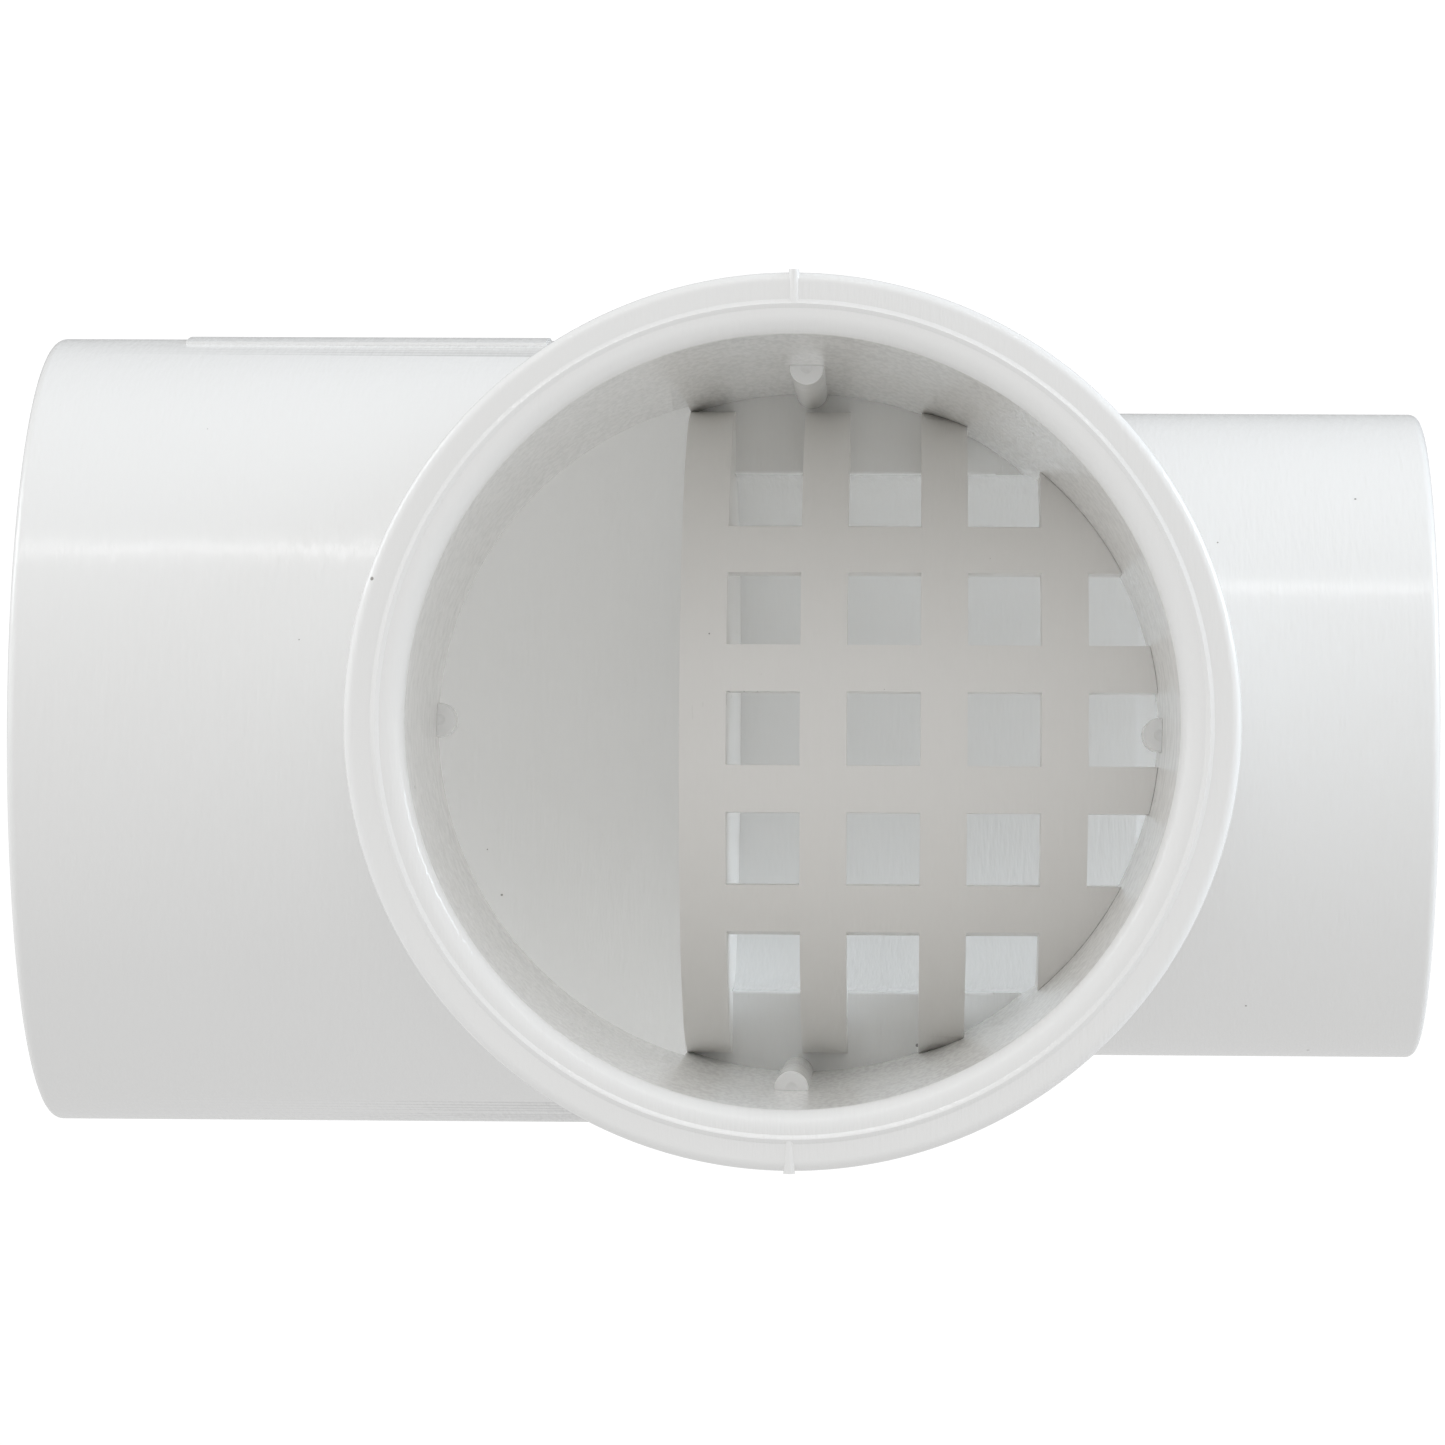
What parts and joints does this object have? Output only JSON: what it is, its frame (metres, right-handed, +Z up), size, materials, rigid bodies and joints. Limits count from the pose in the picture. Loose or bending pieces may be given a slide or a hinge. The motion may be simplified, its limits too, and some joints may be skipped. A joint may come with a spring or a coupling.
{
  "type": "reducing pipe tee with strainer grid",
  "caption": "White moulded pvc reducing tee with three slip sockets and an arched strainer grid over the small end's flow way.",
  "frame": {"origin": "middle of the footprint, on the surface that the tee lies on", "axes": "+X along the run towards the small end, -Y out of the branch, +Z up when the tee lies on its side"},
  "size_m": [0.1216, 0.104, 0.0714],
  "materials": {
    "white_pvc": "gloss",
    "grey_pvc": "satin"
  },
  "bodies": {
    "root": {"tee_body": "white_pvc", "small_end": "white_pvc", "flow_floor": "grey_pvc", "strainer_grid": "grey_pvc", "end_wall": "grey_pvc", "stop_post_top": "white_pvc", "stop_post_bottom": "white_pvc", "stop_post_big_side": "white_pvc", "stop_post_small_side": "white_pvc"}
  },
  "joints": []
}
